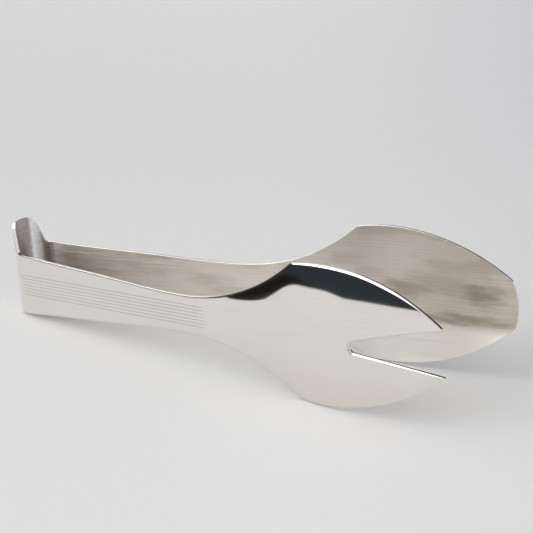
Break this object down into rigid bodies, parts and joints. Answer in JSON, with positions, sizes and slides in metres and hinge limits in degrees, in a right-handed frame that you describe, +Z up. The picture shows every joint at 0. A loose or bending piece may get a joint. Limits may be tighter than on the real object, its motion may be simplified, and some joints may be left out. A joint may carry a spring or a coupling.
{
  "type": "ice tongs",
  "caption": "Spring tongs of bent steel sheet: a fork blade and a spoon blade on flat handles, a round bow and a thumb tab.",
  "frame": {"origin": "on the table, under the middle of the bounding box, with the tongs lying on the bow's lower edge and both blades", "axes": "+X from the bow to the blade tips, +Y to the spoon side, +Z up, across the strip; the thumb tab points up"},
  "size_m": [0.247, 0.0666, 0.064],
  "materials": {
    "stainless_steel": "polished outside, brushed along the length inside"
  },
  "bodies": {
    "bow": {"spring_bow": "stainless_steel"},
    "fork_side": {"fork_arm": "stainless_steel"},
    "spoon_side": {"spoon_arm": "stainless_steel"}
  },
  "joints": [
    {"name": "bow_to_fork", "type": "hinge", "parent": "bow", "child": "fork_side", "pos_m": [-0.11646, -0.00698, 0.01485], "axis": [-0.0952, 0, 0.9955], "range_deg": [0, 7.4], "stiffness_Nm_per_rad": 20},
    {"name": "bow_to_spoon", "type": "hinge", "parent": "bow", "child": "spoon_side", "pos_m": [-0.11646, 0.00698, 0.01485], "axis": [0.0952, 0, -0.9955], "range_deg": [0, 7.4], "stiffness_Nm_per_rad": 20}
  ],
  "couplings": [
    {"joint": "bow_to_spoon", "follows": "bow_to_fork", "ratio": 1}
  ]
}
